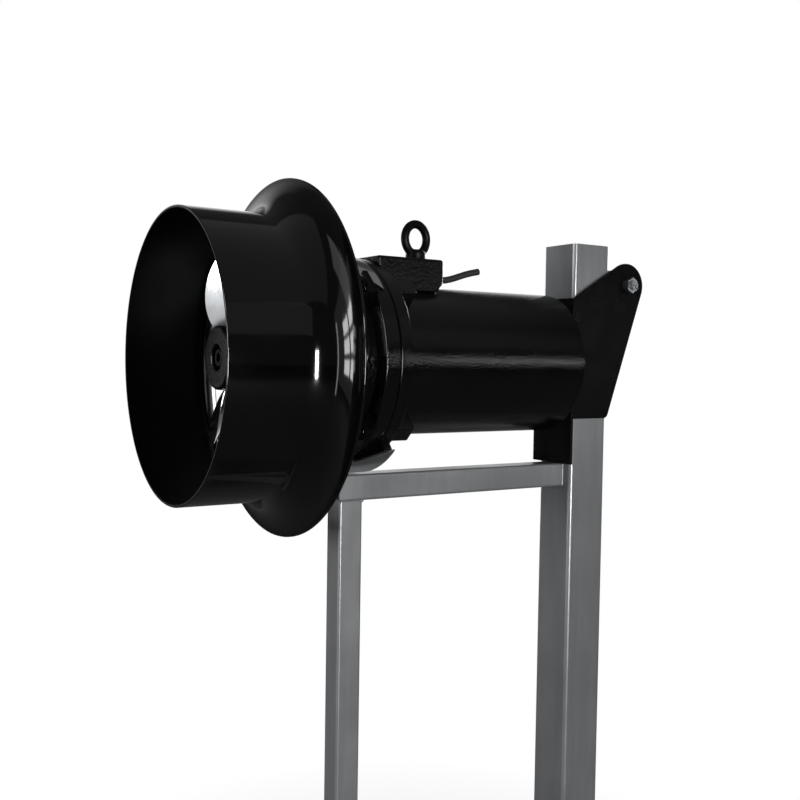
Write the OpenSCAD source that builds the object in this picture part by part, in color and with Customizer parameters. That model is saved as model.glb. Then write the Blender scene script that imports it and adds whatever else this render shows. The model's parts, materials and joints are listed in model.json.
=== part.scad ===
// Submersible mixer with a guide ring, riding on the square rail of its stand.
// Millimetres, +Z up, the mixer's axis runs along X with the propeller end at -X.

/* [Stand] */
// Height of the mixer's axis above the floor
axis_h = 730; // [600:5:900]
// Side of the square guide post
post_w = 60; // [50:1:80]
// Top of the guide post above the mixer's axis
post_top = 153; // [140:1:220]
// Wall of the guide post
post_wall = 3; // [2:0.5:5]
// Outside corner radius of the guide post
post_corner = 5; // [2:0.5:8]
// Side of the square tube in the front leg and the brace
leg_w = 30; // [25:1:40]
// Wall of the leg and brace tube
leg_wall = 2; // [1.5:0.5:4]
// Outside corner radius of the leg and brace tube
leg_corner = 3; // [1:0.5:5]
// Middle of the front leg behind the front of the guide ring
leg_t = 207; // [195:1:220]
// Top of the brace below the mixer's axis
brace_drop = 129.5; // [127:0.5:140]
// Length of the two cross feet
foot_len = 380; // [320:5:420]
// Side of the square tube in the cross feet
foot_w = 40; // [30:1:50]
// Diameter of the floor bolt holes in the cross feet
foot_bolt_d = 11; // [9:0.5:13]

/* [Guide ring] */
// Outside diameter of the straight ring
ring_od = 308; // [300:1:316]
// Wall of the ring and its bell
ring_wall = 3; // [2.5:0.5:5]
// Length of the straight ring
ring_len = 80; // [74:1:86]
// Radius of the bell's flare
flare_r = 39; // [34:1:40]
// Angle of the four stays from the vertical
stay_angle = 53; // [50:1:56]
// Thickness of the stays
stay_thick = 6; // [4:0.5:8]

/* [Propeller] */
// Diameter over the blade tips
prop_d = 264; // [240:1:276]
// Pitch of the blades
prop_pitch = 350; // [300:5:400]
// Greatest chord of a blade
blade_chord = 122; // [100:1:130]
// Thickness of a blade at its root
blade_thick = 6; // [4:0.5:8]
// Diameter of the hub
hub_d = 68; // [62:1:72]
// Angle of the first blade from the vertical
blade_turn = -15; // [-60:1:60]

/* [Motor] */
// Outside diameter of the motor casing
motor_od = 173; // [170:1:178]
// Bore of the motor casing
motor_bore = 156; // [150:1:158]
// Diameter of the two flanges
flange_d = 253; // [248:1:262]
// Front face of the front flange behind the ring's front
flange_t = 191; // [189:1:193]
// Thickness of each flange
flange_thick = 13; // [12:0.5:14]
// Rear end of the motor casing behind the ring's front
motor_end = 485; // [480:1:490]
// Angle of the four flange bolts from the vertical
boss_angle = 43; // [41:1:45]
// Diameter of the flange bolts
flange_bolt_d = 10; // [8:1:12]

/* [Shaft] */
// Diameter of the shaft in the propeller
shaft_prop_d = 35; // [32:1:38]
// Diameter of the shaft in the seal and the front bearing
shaft_d = 40; // [40:0.5:42]
// Radial clearance of running and sliding fits
fit = 0.05; // [0.03:0.01:0.08]

/* [Cable box] */
// Width of the cable box
box_w = 76; // [70:1:84]
// Top of the cable box above the mixer's axis
box_top = 117; // [112:1:122]
// Rear face of the cable box behind the ring's front
box_end = 313; // [306:1:320]
// Outside diameter of the lifting eye
eye_od = 45; // [40:1:50]
// Inside diameter of the lifting eye
eye_id = 25; // [22:1:28]
// Turn of the lifting eye away from the axis
eye_turn = -11; // [-45:1:45]
// Diameter of the cable
cable_d = 8; // [7:0.5:11]
// Height of the cable entry above the mixer's axis
cable_h = 97; // [96.5:0.5:99]

/* [Guide bracket] */
// Thickness of the two cheek plates
cheek_thick = 5; // [4:0.5:8]
// Gap between a cheek plate and the guide post
cheek_gap = 1.75; // [1:0.25:3]
// Height of the roller's axle above the mixer's axis
roller_h = 103; // [98:1:108]
// Radius of the round end of the cheek plates
lobe_r = 29; // [27:1:31]
// Diameter of the roller's axle
axle_d = 12; // [10:1:14]

/* [Hidden] */
$fn = 96;
e = 0.01;
ring_r = ring_od / 2;
bell_r = ring_r + flare_r;
bell_t = ring_len + flare_r + ring_wall;
flange_r = flange_d / 2;
joint_t = flange_t + flange_thick;
back_t = joint_t + flange_thick;
motor_r = motor_od / 2;
bore_r = motor_bore / 2;
boss_end = back_t + 21;
bolt_r = flange_bolt_d / 2;
bolt_circle = 109;
hub_r = hub_d / 2;
hub_front = 64;
hub_back = hub_front + 54;
nose_t = hub_back + 4;
bearing_t = joint_t + 10.1;
rear_bearing_t = motor_end - 27;
stack_t1 = back_t + 58;
stack_t2 = motor_end - 80;
screw_circle = (motor_r + bore_r) / 2;
eye_t = box_end - 15;
cover_t = motor_end + 6;
plate_t = motor_end + 29.5;
plate_thick = 4;
post_t = plate_t + 6.5;
post_back = post_t + post_w;
roller_t = post_back + 25.8;
rear_t = roller_t + lobe_r;
cheek_in = post_w / 2 + cheek_gap;
cheek_out = cheek_in + cheek_thick;
roller_half = cheek_in - 2.75;
roller_r = 22;
x0 = -rear_t / 2;
foot_front_t = leg_t;
foot_rear_t = post_t + post_w / 2;
foot_rest = -brace_drop + 0.2;

// Along the mixer's axis: local x is up, local y is towards the near side, local z is rearward.
module place(t = 0) {
    translate([x0 + t, 0, axis_h]) rotate([0, 90, 0]) rotate([0, 0, 180]) children();
}

// A round bar along the axis from t1 to t2.
module rod(t1, t2, r) {
    translate([0, 0, t1]) cylinder(h = t2 - t1, r = r);
}

// A hexagonal bar along the axis, by its width across flats.
module hex(t1, t2, flats) {
    translate([0, 0, t1]) cylinder(h = t2 - t1, r = flats / sqrt(3), $fn = 6);
}

// Copies at the four flange bolts, each with its angle and the side its stay stands on.
module at_bosses() {
    for (q = [[1, 1], [1, -1], [-1, -1], [-1, 1]])
        rotate([0, 0, q[0] > 0 ? q[1] * boss_angle : 180 + q[1] * boss_angle]) children();
}

// A square tube with rounded corners standing on the XY plane.
module round_square(w, r) {
    polygon([for (k = [0:3]) for (a = [0:15:90])
        let (c = w / 2 - r, sx = (k == 0 || k == 3) ? 1 : -1, sy = k < 2 ? 1 : -1)
        [sx * c + r * cos(k * 90 + a), sy * c + r * sin(k * 90 + a)]]);
}
module tube(w, wall, r, h) {
    difference() {
        linear_extrude(h) round_square(w, r);
        translate([0, 0, -1]) linear_extrude(h + 2) round_square(w - 2 * wall, max(r - wall, 0.6));
    }
}

// Sheet of the bell, at a fraction of its wall, from the ring to the rim.
function flare(a, depth) = [bell_r - (flare_r + depth) * cos(a), ring_len + (flare_r + depth) * sin(a)];

module stay(a, side) {
    rotate([0, 0, a]) translate([0, stay_thick / 2, 0]) rotate([90, 0, 0]) linear_extrude(stay_thick)
        polygon(concat([for (b = [8:8:56]) flare(b, ring_wall / 2)],
            [[flange_r - 4, flange_t - 5], [flange_r - 4, flange_t], [98, flange_t], [98, flange_t - 14]]));
}

module guide_ring() {
    color("#0b0b0c") place() difference() {
        union() {
            rotate_extrude() polygon(concat(
                [[ring_r - ring_wall + 0.8, 0], [ring_r - 0.8, 0], [ring_r, 0.8]],
                [for (a = [0:6:90]) flare(a, 0)],
                [for (a = [90:-6:0]) flare(a, ring_wall)],
                [[ring_r - ring_wall, 0.8]]));
            for (m = [0, 1]) mirror([0, m, 0]) {
                stay(stay_angle, 1);
                stay(180 - stay_angle, -1);
                rotate([0, 0, boss_angle]) translate([98, -13, flange_t - 6]) cube([25, 35, 6]);
                rotate([0, 0, 180 - boss_angle]) translate([98, -22, flange_t - 6]) cube([25, 35, 6]);
            }
        }
        at_bosses() translate([bolt_circle, 0, flange_t - 20]) cylinder(h = 40, r = bolt_r + 0.3);
    }
}

module flange_bolts() {
    color("#8d9196") place() at_bosses() translate([bolt_circle, 0, 0]) {
        hex(flange_t - 14.5, flange_t - 8, 1.6 * flange_bolt_d);
        rod(flange_t - 8, flange_t - 6, bolt_r * 2);
        rod(flange_t - 8.5, boss_end - 8, bolt_r);
    }
}

// One blade as stacked sections, each wrapped round its own radius.
blade_rows = 15;
blade_cols = 11;
blade_tip = prop_d / 2;
blade_root = hub_r - 3;
function blade_rad(i) = blade_root + (blade_tip - blade_root) * (1 - pow(1 - i / (blade_rows - 1), 1.6));
function blade_len(u) = blade_chord * (0.44 + 1.06 * u - 0.5 * u * u) * sqrt(max(1 - pow(u, 7), 0.012));
function blade_lag(u) = 16 * u * u - 4;
function blade_half(u, s) = (blade_thick * (1 - 0.68 * u) * (1 - 0.86 * pow(abs(2 * s), 2.4))) / 2;
function blade_point(i, s, side) =
    let (r = blade_rad(i), u = (r - blade_root) / (blade_tip - blade_root),
        b = atan(prop_pitch / (2 * PI * r)), c = blade_len(u) * s, h = side * blade_half(u, s),
        turn = (c * cos(b) - h * sin(b)) / r * 180 / PI + blade_lag(u))
    [r * cos(turn), r * sin(turn), hub_front + 25.5 + c * sin(b) + h * cos(b)];
function blade_loop(i) = concat(
    [for (j = [0:blade_cols - 1]) blade_point(i, j / (blade_cols - 1) - 0.5, 1)],
    [for (j = [blade_cols - 1:-1:0]) blade_point(i, j / (blade_cols - 1) - 0.5, -1)]);
module blade() {
    n = 2 * blade_cols;
    polyhedron(points = [for (i = [0:blade_rows - 1]) each blade_loop(i)],
        faces = concat(
            [for (i = [0:blade_rows - 2]) for (j = [0:n - 1]) each [
                [i * n + j, i * n + (j + 1) % n, (i + 1) * n + j],
                [i * n + (j + 1) % n, (i + 1) * n + (j + 1) % n, (i + 1) * n + j]]],
            [for (j = [0:blade_cols - 2]) each [
                [j, n - 1 - j, j + 1], [j + 1, n - 1 - j, n - 2 - j]]],
            [for (j = [0:blade_cols - 2]) let (o = (blade_rows - 1) * n) each [
                [o + j, o + j + 1, o + n - 1 - j], [o + j + 1, o + n - 2 - j, o + n - 1 - j]]]));
}

module propeller() {
    color("#c9ccd0") place() difference() {
        union() {
            rotate_extrude() polygon([[12, hub_front], [hub_r - 1, hub_front], [hub_r, hub_front + 1],
                [hub_r, hub_back - 1], [hub_r - 1, hub_back], [12, hub_back]]);
            for (k = [0:2]) rotate([0, 0, blade_turn + 120 * k]) blade();
        }
        rod(hub_front - 4, hub_back + 12, shaft_prop_d / 2 + fit);
        translate([0, -5 - fit, hub_front - 1]) cube([shaft_prop_d / 2 + 3.4, 10 + 2 * fit, 60]);
    }
}

module hub_cap() {
    color("#0c0c0d") place() translate([0, 0, hub_front]) rotate_extrude() polygon([[20, 0], [hub_r, 0],
        [hub_r, -10], [hub_r - 1.2, -12.8], [hub_r - 4, -14], [15, -14], [13, -12], [13, -7], [20, -7]]);
}

module propeller_bolt() {
    color("#9a9ea3") place() {
        difference() {
            rod(hub_front - 11.5, hub_front - 4, 9);
            hex(hub_front - 13, hub_front - 7.5, 10);
        }
        rod(hub_front - 4.5, hub_front + 28, 6);
    }
}

module propeller_washer() {
    color("#9a9ea3") place() difference() {
        rod(hub_front - 4, hub_front, 19);
        rod(hub_front - 5, hub_front + 1, 6.3);
    }
}

module shaft_key() {
    color("#8b8f94") place() translate([12.5, -5, hub_front + 6]) cube([8, 10, 42]);
}

module shaft() {
    r = shaft_d / 2;
    color("#a9adb2") place() difference() {
        union() {
            rod(hub_front + 0.5, hub_back + 1, shaft_prop_d / 2);
            rod(hub_back, bearing_t + 18.9, r);
            rod(bearing_t + 18.2, motor_end - 45, 24);
            rod(motor_end - 46, rear_bearing_t - 0.2, 16);
            rod(rear_bearing_t - 1, motor_end - 5, 12.5);
        }
        rod(hub_front - 4, hub_front + 32, 6.05);
        translate([12.5 - fit, -5 - fit, hub_front + 6 - fit]) cube([12, 10 + 2 * fit, 42 + 2 * fit]);
    }
}

module seal_housing() {
    color("#111213") place() difference() {
        rotate_extrude() polygon([[shaft_d / 2 + 1, nose_t], [40, nose_t], [47, nose_t + 5], [52, nose_t + 18],
            [68, flange_t - 21], [74, flange_t - 12], [92, flange_t - 12], [94, flange_t - 10], [94, flange_t],
            [66, flange_t], [58, flange_t - 15], [44, nose_t + 26], [37, nose_t + 16], [37, nose_t + 24],
            [28, nose_t + 24], [28, nose_t + 8], [shaft_d / 2 + 1, nose_t + 8]]);
        for (k = [0:5]) rotate([0, 0, 60 * k]) translate([84, 0, flange_t - 21]) cylinder(h = 40, r = 3.3);
        rotate([0, 0, 90]) translate([60, 0, flange_t - 6]) rotate([0, 90, 0]) cylinder(h = 50, r = 4.05);
    }
}

module seal_housing_screws() {
    color("#8d9196") place() for (k = [0:5]) rotate([0, 0, 60 * k]) translate([84, 0, 0]) {
        difference() {
            rod(flange_t - 18, flange_t - 12, 5);
            hex(flange_t - 19, flange_t - 15, 5);
        }
        rod(flange_t - 12.5, flange_t + 10, 3);
    }
}

module oil_plug() {
    color("#8d9196") place() rotate([0, 0, 90]) translate([0, 0, flange_t - 6]) rotate([0, 90, 0]) {
        translate([0, 0, 78]) cylinder(h = 17, r = 4);
        translate([0, 0, 94.1]) cylinder(h = 5.5, r = 10 / sqrt(3), $fn = 6);
    }
}

module seal_seat() {
    color("#3a3d42") place() difference() {
        rod(nose_t + 8.1, nose_t + 24, 27.9);
        rod(nose_t + 7, nose_t + 25, shaft_d / 2 + 1);
    }
}

module seal_ring() {
    color("#55585c") place() difference() {
        rod(nose_t + 24.1, nose_t + 38, 27);
        rod(nose_t + 23, nose_t + 39, shaft_d / 2 + 0.02);
    }
}

module seal_bellows() {
    r = shaft_d / 2 + 0.02;
    t1 = nose_t + 38.1;
    t2 = flange_t - 4;
    pleat = (t2 - t1) / 9;
    color("#1c1c1d") place() rotate_extrude() polygon(concat([[r, t1], [r + 6.5, t1]],
        [for (k = [0:6]) [r + (k % 2 == 0 ? 6.5 : 3.5), t1 + pleat * (1 + k)]], [[r + 6.5, t2], [r, t2]]));
}

module front_flange() {
    color("#111213") place() difference() {
        rotate_extrude() polygon([[24, flange_t], [flange_r - 1.5, flange_t], [flange_r, flange_t + 1.5],
            [flange_r, joint_t - 1.6], [flange_r - 1.2, joint_t - 0.4], [bore_r + 12, joint_t - 0.4],
            [bore_r + 12, joint_t - 1], [bore_r - 0.1, joint_t - 1], [bore_r - 0.1, joint_t + 12],
            [56, joint_t + 12], [52, joint_t + 34], [40 + fit, joint_t + 34], [40 + fit, joint_t + 10],
            [24, joint_t + 10]]);
        at_bosses() rod_at(bolt_circle, flange_t - 5, joint_t + 5, bolt_r + 0.25);
        for (k = [0:5]) rotate([0, 0, 60 * k]) rod_at(84, flange_t - 5, flange_t + 10.5, 3.05);
    }
}
module rod_at(r, t1, t2, rad) {
    translate([r, 0, 0]) rod(t1, t2, rad);
}

module flange_gasket() {
    color("#2a2a2a") place() difference() {
        rod(joint_t - 0.9, joint_t - 0.1, bore_r + 11.5);
        rod(joint_t - 2, joint_t + 1, bore_r + 0.2);
    }
}

// A ball bearing's three pieces, by its bore, outside radius and ends.
module race(t1, t2, ra, rb, groove, ball) {
    difference() {
        rod(t1, t2, rb);
        rod(t1 - 1, t2 + 1, ra);
        translate([0, 0, (t1 + t2) / 2]) rotate_extrude() translate([groove, 0])
            circle(r = ball + 0.05, $fn = 32);
    }
}
module balls(t1, t2, groove, ball, n) {
    for (k = [0:n - 1]) rotate([0, 0, 360 / n * k]) translate([groove, 0, (t1 + t2) / 2])
        sphere(r = ball, $fn = 32);
}

module front_bearing_outer() { color("#b9bcc0") place() race(bearing_t, bearing_t + 18, 34, 40, 30, 5.6); }
module front_bearing_balls() { color("#c7cacd") place() balls(bearing_t, bearing_t + 18, 30, 5.5, 9); }
module front_bearing_inner() {
    color("#b9bcc0") place() race(bearing_t, bearing_t + 18, shaft_d / 2 + 0.01, 26, 30, 5.6);
}

module motor_casing() {
    color("#0d0d0e") place() difference() {
        rotate_extrude() polygon([[bore_r, joint_t], [motor_r, joint_t], [motor_r, motor_end - 1],
            [motor_r - 1, motor_end], [bore_r, motor_end]]);
        translate([motor_r - 20, -22, back_t + 13]) cube([40, 44, 60]);
        for (k = [0:5]) rotate([0, 0, 30 + 60 * k])
            rod_at(screw_circle, motor_end - 16, motor_end + 5, 2.55);
    }
}

// Flange ring on the casing, with a boss behind each bolt.
module motor_flange() {
    color("#0d0d0e") place() difference() {
        union() {
            rotate_extrude() polygon([[motor_r - 5, joint_t], [flange_r - 1.2, joint_t],
                [flange_r, joint_t + 1.2], [flange_r, back_t - 2], [flange_r - 2, back_t],
                [motor_r + 3, back_t], [motor_r, back_t + 3], [motor_r - 5, back_t + 3]]);
            at_bosses() translate([motor_r - 6, -13, back_t - 2])
                cube([flange_r - motor_r + 3, 26, boss_end - back_t + 2]);
        }
        rod(joint_t - 5, boss_end + 5, motor_r + 0.02);
        at_bosses() rod_at(bolt_circle, joint_t - 5, boss_end - 6, bolt_r + 0.05);
    }
}

module stator_core() {
    color("#6a6d70") place() difference() {
        rod(stack_t1, stack_t2, bore_r - 0.02);
        rod(stack_t1 - 5, stack_t2 + 5, 52);
        for (k = [0:23]) rotate([0, 0, 15 * k]) translate([51, -2.2, stack_t1 - 5])
            cube([14, 4.4, stack_t2 - stack_t1 + 10]);
    }
}

module stator_windings() {
    color("#a8622a") place() {
        for (t = [stack_t1 - 28, stack_t2 + 2]) difference() {
            rod(t, t + 26, 68);
            rod(t - 1, t + 27, 56);
        }
        for (k = [0:23]) rotate([0, 0, 15 * k]) translate([56.5, -2, stack_t1 - 3])
            cube([8, 4, stack_t2 - stack_t1 + 6]);
    }
}

module rotor_core() {
    color("#75787c") place() difference() {
        union() {
            rod(stack_t1, stack_t2, 51.5);
            rod(stack_t1 - 10, stack_t2 + 10, 48);
        }
        rod(stack_t1 - 15, stack_t2 + 15, 24.02);
    }
}

module rear_bearing_outer() {
    color("#b9bcc0") place() race(rear_bearing_t, rear_bearing_t + 15, 22.3, 26, 19.2, 3.9);
}
module rear_bearing_balls() {
    color("#c7cacd") place() balls(rear_bearing_t, rear_bearing_t + 15, 19.2, 3.8, 9);
}
module rear_bearing_inner() {
    color("#b9bcc0") place() race(rear_bearing_t, rear_bearing_t + 15, 12.51, 16.2, 19.2, 3.9);
}

// Cover with a short neck behind it that carries the bracket.
neck_r = 52;
module at_bracket_screws() {
    for (side = [-1, 1]) for (level = [-1, 1]) translate([level * 36, side * 20, 0]) children();
}
module rear_cover() {
    color("#0d0d0e") place() difference() {
        rotate_extrude() polygon([[0, plate_t], [neck_r, plate_t], [neck_r, cover_t + 2],
            [neck_r + 2, cover_t], [motor_r - 1.6, cover_t], [motor_r, cover_t - 1.6],
            [motor_r, motor_end + 0.5], [motor_r - 0.3, motor_end + 0.2], [bore_r - 0.1, motor_end + 0.2],
            [bore_r - 0.1, motor_end - 8], [44, motor_end - 8], [38, motor_end - 29],
            [26 + fit, motor_end - 29], [26 + fit, motor_end - 11], [22, motor_end - 11],
            [22, motor_end - 3], [0, motor_end - 3]]);
        for (k = [0:5]) rotate([0, 0, 30 + 60 * k]) {
            rod_at(screw_circle, motor_end - 5, cover_t + 5, 2.7);
            translate([screw_circle, 0, cover_t - 2.6]) cylinder(h = 2.61, r1 = 2.7, r2 = 4.6);
        }
        at_bracket_screws() rod(plate_t - 14, plate_t + 5, 3.05);
    }
}

module cover_screws() {
    color("#0d0d0e") place() for (k = [0:5]) rotate([0, 0, 30 + 60 * k]) translate([screw_circle, 0, 0])
        difference() {
            union() {
                rod(motor_end - 14, cover_t - 2, 2.5);
                translate([0, 0, cover_t - 2.5]) cylinder(h = 2.3, r1 = 2.5, r2 = 4.3);
            }
            hex(cover_t - 1.8, cover_t + 1, 3);
        }
}

// Cast box on the casing's top: rounded ends, a sloping lower rear corner, hollow inside.
module cable_box() {
    w = box_w / 2;
    color("#0f0f10") place() difference() {
        intersection() {
            translate([60, 0, back_t + 0.2]) linear_extrude(box_end - back_t - 0.2) polygon(concat(
                [[0, -w], [box_top - 66, -w]],
                [for (a = [0:15:90]) [box_top - 66 + 6 * sin(a), -w + 6 - 6 * cos(a)]],
                [for (a = [90:-15:0]) [box_top - 66 + 6 * sin(a), w - 6 + 6 * cos(a)]], [[0, w]]));
            translate([0, w + 1, 0]) rotate([90, 0, 0]) linear_extrude(box_w + 2) polygon([[60, back_t],
                [box_top, back_t], [box_top, box_end - 7], [box_top - 2, box_end - 2.2],
                [box_top - 6, box_end], [89, box_end],
                [77, box_end - 11], [60, box_end - 11]]);
        }
        rod(back_t - 10, box_end + 10, motor_r + 0.1);
        translate([60, -w + 8, back_t + 9]) cube([box_top - 69, box_w - 16, box_end - back_t - 23]);
        at_bosses() translate([motor_r - 8, -13.2, back_t - 2]) cube([flange_r, 26.4, boss_end - back_t + 2.2]);
        rod(back_t - 10, back_t + 3.2, motor_r + 3.3);
        translate([cable_h, 0, box_end - 20]) cylinder(h = 40, r = 6.55);
        translate([box_top - 20, 0, eye_t]) rotate([0, 90, 0]) cylinder(h = 40, r = 5.05);
    }
}

module eye_bolt() {
    mid = (eye_od + eye_id) / 4;
    wire = (eye_od - eye_id) / 4;
    color("#0b0b0c") place() translate([box_top + 2.8, 0, eye_t]) rotate([0, 90, 0]) rotate([0, 0, eye_turn]) {
        translate([0, 0, 0.8 + eye_od / 2]) rotate([0, 90, 0]) rotate_extrude() translate([mid, 0])
            circle(r = wire);
        cylinder(h = 7.5, r = 11.5);
        translate([0, 0, 7.4]) cylinder(h = 3, r1 = 11.5, r2 = 7.5);
        translate([0, 0, -18.4]) cylinder(h = 19.4, r = 5);
    }
}

module cable_gland() {
    color("#1a1a1b") place() translate([cable_h, 0, 0]) difference() {
        union() {
            rod(box_end - 10, box_end + 1, 6.5);
            hex(box_end + 0.05, box_end + 7, 17);
            rod(box_end + 6, box_end + 17, 8);
            translate([0, 0, box_end + 17]) cylinder(h = 4, r1 = 8, r2 = 5.8);
        }
        rod(box_end - 20, box_end + 40, cable_d / 2 + 0.06);
    }
}

// Short tail of cable: round sections along a route in the mixer's upright middle plane.
cable_path = [[box_end - 9, cable_h], [box_end + 8, cable_h], [box_end + 22, cable_h],
    [box_end + 29, cable_h + 0.6], [box_end + 36, cable_h + 2.1], [box_end + 43, cable_h + 4.2],
    [box_end + 50, cable_h + 6.5],
    [box_end + 58, cable_h + 9], [box_end + 67, cable_h + 11.4], [box_end + 77, cable_h + 13.5]];
module cable() {
    n = len(cable_path);
    m = 12;
    function way(i) = let (d = cable_path[min(i + 1, n - 1)] - cable_path[max(i - 1, 0)]) d / norm(d);
    color("#151516") place() polyhedron(
        points = [for (i = [0:n - 1]) for (k = [0:m - 1]) let (p = cable_path[i], d = way(i), a = 360 / m * k)
            [p[1] + cable_d / 2 * cos(a) * d[0], cable_d / 2 * sin(a), p[0] - cable_d / 2 * cos(a) * d[1]]],
        faces = concat(
            [for (i = [0:n - 2]) for (k = [0:m - 1]) each [
                [i * m + k, (i + 1) * m + k, i * m + (k + 1) % m],
                [i * m + (k + 1) % m, (i + 1) * m + k, (i + 1) * m + (k + 1) % m]]],
            [[for (k = [0:m - 1]) k]], [[for (k = [m - 1:-1:0]) (n - 1) * m + k]]));
}

module bracket_plate() {
    color("#101011") place() difference() {
        translate([foot_rest, -cheek_out, plate_t + 0.1])
            cube([83 - foot_rest, 2 * cheek_out, plate_thick - 0.1]);
        at_bracket_screws() {
            rod(plate_t - 5, plate_t + 20, 3.3);
            translate([0, 0, plate_t + plate_thick - 3.2]) cylinder(h = 3.21, r1 = 3.3, r2 = 6.4);
        }
        for (side = [-1, 1]) translate([-108, side * 18, plate_t + 1]) cylinder(h = 20, r = 1.55);
    }
}

module bracket_screws() {
    color("#8d9196") place() at_bracket_screws() difference() {
        union() {
            rod(plate_t - 12, plate_t + plate_thick - 3, 3);
            translate([0, 0, plate_t + plate_thick - 3.1]) cylinder(h = 2.9, r1 = 3, r2 = 6);
        }
        hex(plate_t + plate_thick - 2.2, plate_t + 20, 4);
    }
}

// Thin plastic strip at the foot of the bracket that slides on the post's front face.
module slide_pad() {
    color("#151516") place() difference() {
        translate([-126, -post_w / 2, plate_t + plate_thick + 0.1])
            cube([36, post_w, post_t - plate_t - plate_thick - 0.6]);
        for (side = [-1, 1]) translate([-108, side * 18, 0]) {
            rod(plate_t, post_t + 5, 1.6);
            translate([0, 0, post_t - 2.1]) cylinder(h = 1.61, r1 = 1.6, r2 = 3.2);
        }
    }
}

module pad_screws() {
    color("#8d9196") place() for (side = [-1, 1]) translate([-108, side * 18, 0]) difference() {
        union() {
            rod(plate_t + 1.2, post_t - 1.5, 1.5);
            translate([0, 0, post_t - 2]) cylinder(h = 1.3, r1 = 1.5, r2 = 2.8);
        }
        hex(post_t - 1.4, post_t, 2);
    }
}

// Side plate of the bracket, seen from the near side: height against distance along the axis.
module cheek_form() {
    edge = plate_t + plate_thick + 0.1;
    a1 = 31;
    polygon(concat([[-71, edge], [83.5, edge]],
        [for (a = [90 + a1:-6:-20]) [roller_h + lobe_r * sin(a), roller_t + lobe_r * cos(a)]],
        [for (a = [-20:-14:-90]) [-63 + 8 * sin(a), roller_t - 36 + 8 * cos(a)]]));
}
module cheek(y) {
    difference() {
        place() translate([0, y + cheek_thick, 0]) rotate([90, 0, 0]) linear_extrude(cheek_thick) cheek_form();
        place() translate([roller_h, 0, roller_t]) rotate([90, 0, 0])
            cylinder(h = 200, r = axle_d / 2 + 0.1, center = true);
    }
}
module near_cheek() { color("#101011") cheek(cheek_in); }
module far_cheek() { color("#101011") cheek(-cheek_out); }

module axle_place() {
    place() translate([roller_h, 0, roller_t]) rotate([-90, 0, 0]) children();
}

module guide_roller() {
    color("#151516") axle_place() rotate_extrude() polygon([[axle_d / 2 + 0.06, -roller_half],
        [12, -roller_half], [12, 2 - roller_half], [roller_r - 1.5, 2 - roller_half],
        [roller_r, 3.5 - roller_half], [roller_r, roller_half - 3.5], [roller_r - 1.5, roller_half - 2],
        [12, roller_half - 2], [12, roller_half], [axle_d / 2 + 0.06, roller_half]]);
}

module axle_bolt() {
    color("#9a9ea3") axle_place() {
        translate([0, 0, -cheek_out - 8]) cylinder(h = 7, r = 18 / sqrt(3), $fn = 6);
        translate([0, 0, -cheek_out - 2]) cylinder(h = 2 * cheek_out + 17, r = axle_d / 2);
    }
}

module axle_washers() {
    color("#151516") axle_place() for (z = [-cheek_out - 1, cheek_out]) translate([0, 0, z]) difference() {
        cylinder(h = 1, r = 10);
        translate([0, 0, -1]) cylinder(h = 3, r = axle_d / 2 + 0.2);
    }
}

module axle_spacers() {
    color("#a7abb0") axle_place() for (z = [-cheek_in + 0.1, roller_half + 0.3]) translate([0, 0, z])
        difference() {
            cylinder(h = 2.35, r = 10);
            translate([0, 0, -1]) cylinder(h = 20, r = axle_d / 2 + 0.1);
        }
}

module axle_nut() {
    color("#9a9ea3") axle_place() translate([0, 0, cheek_out + 1]) difference() {
        cylinder(h = 10, r = 18 / sqrt(3), $fn = 6);
        translate([0, 0, -1]) cylinder(h = 20, r = axle_d / 2 + 0.02);
    }
}

module guide_post() {
    color("#9b9d9f") translate([x0 + post_t + post_w / 2, 0, foot_w]) {
        tube(post_w, post_wall, post_corner, axis_h + post_top - foot_w - 3);
        translate([0, 0, axis_h + post_top - foot_w - 3]) linear_extrude(3) round_square(post_w, post_corner);
    }
}

// The leg ends under the brace, and the brace runs over it to the post.
module front_leg() {
    color("#a3a5a7") translate([x0 + leg_t, 0, foot_w])
        tube(leg_w, leg_wall, leg_corner, axis_h - brace_drop - leg_w - foot_w);
}

module brace() {
    color("#a3a5a7") translate([x0 + leg_t - leg_w / 2, 0, axis_h - brace_drop - leg_w / 2]) rotate([0, 90, 0])
        tube(leg_w, leg_wall, leg_corner, post_t - leg_t + leg_w / 2);
}

module foot(t) {
    translate([x0 + t, foot_len / 2, foot_w / 2]) rotate([90, 0, 0])
        tube(foot_w, leg_wall, leg_corner, foot_len);
}
module foot_holes(t) {
    for (s = [-1, 1]) translate([x0 + t, s * (foot_len / 2 - 30), -1])
        cylinder(h = foot_w + 2, r = foot_bolt_d / 2);
}
module front_foot() {
    color("#a3a5a7") difference() {
        foot(foot_front_t);
        foot_holes(foot_front_t);
    }
}
module rear_foot() {
    color("#a3a5a7") difference() {
        foot(foot_rear_t);
        foot_holes(foot_rear_t);
    }
}

module base_rail() {
    color("#a3a5a7") translate([x0 + foot_front_t + foot_w / 2, 0, foot_w / 2]) rotate([0, 90, 0])
        tube(leg_w, leg_wall, leg_corner, foot_rear_t - foot_front_t - foot_w);
}

module foot_caps() {
    color("#1b1b1c") for (t = [foot_front_t, foot_rear_t]) for (s = [-1, 1])
        translate([x0 + t, s * (foot_len / 2), foot_w / 2]) rotate([s * 90, 0, 0]) {
            translate([0, 0, -3]) linear_extrude(3) round_square(foot_w - 0.4, leg_corner);
            linear_extrude(12) round_square(foot_w - 2 * leg_wall - 0.4, 1);
        }
}

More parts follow.
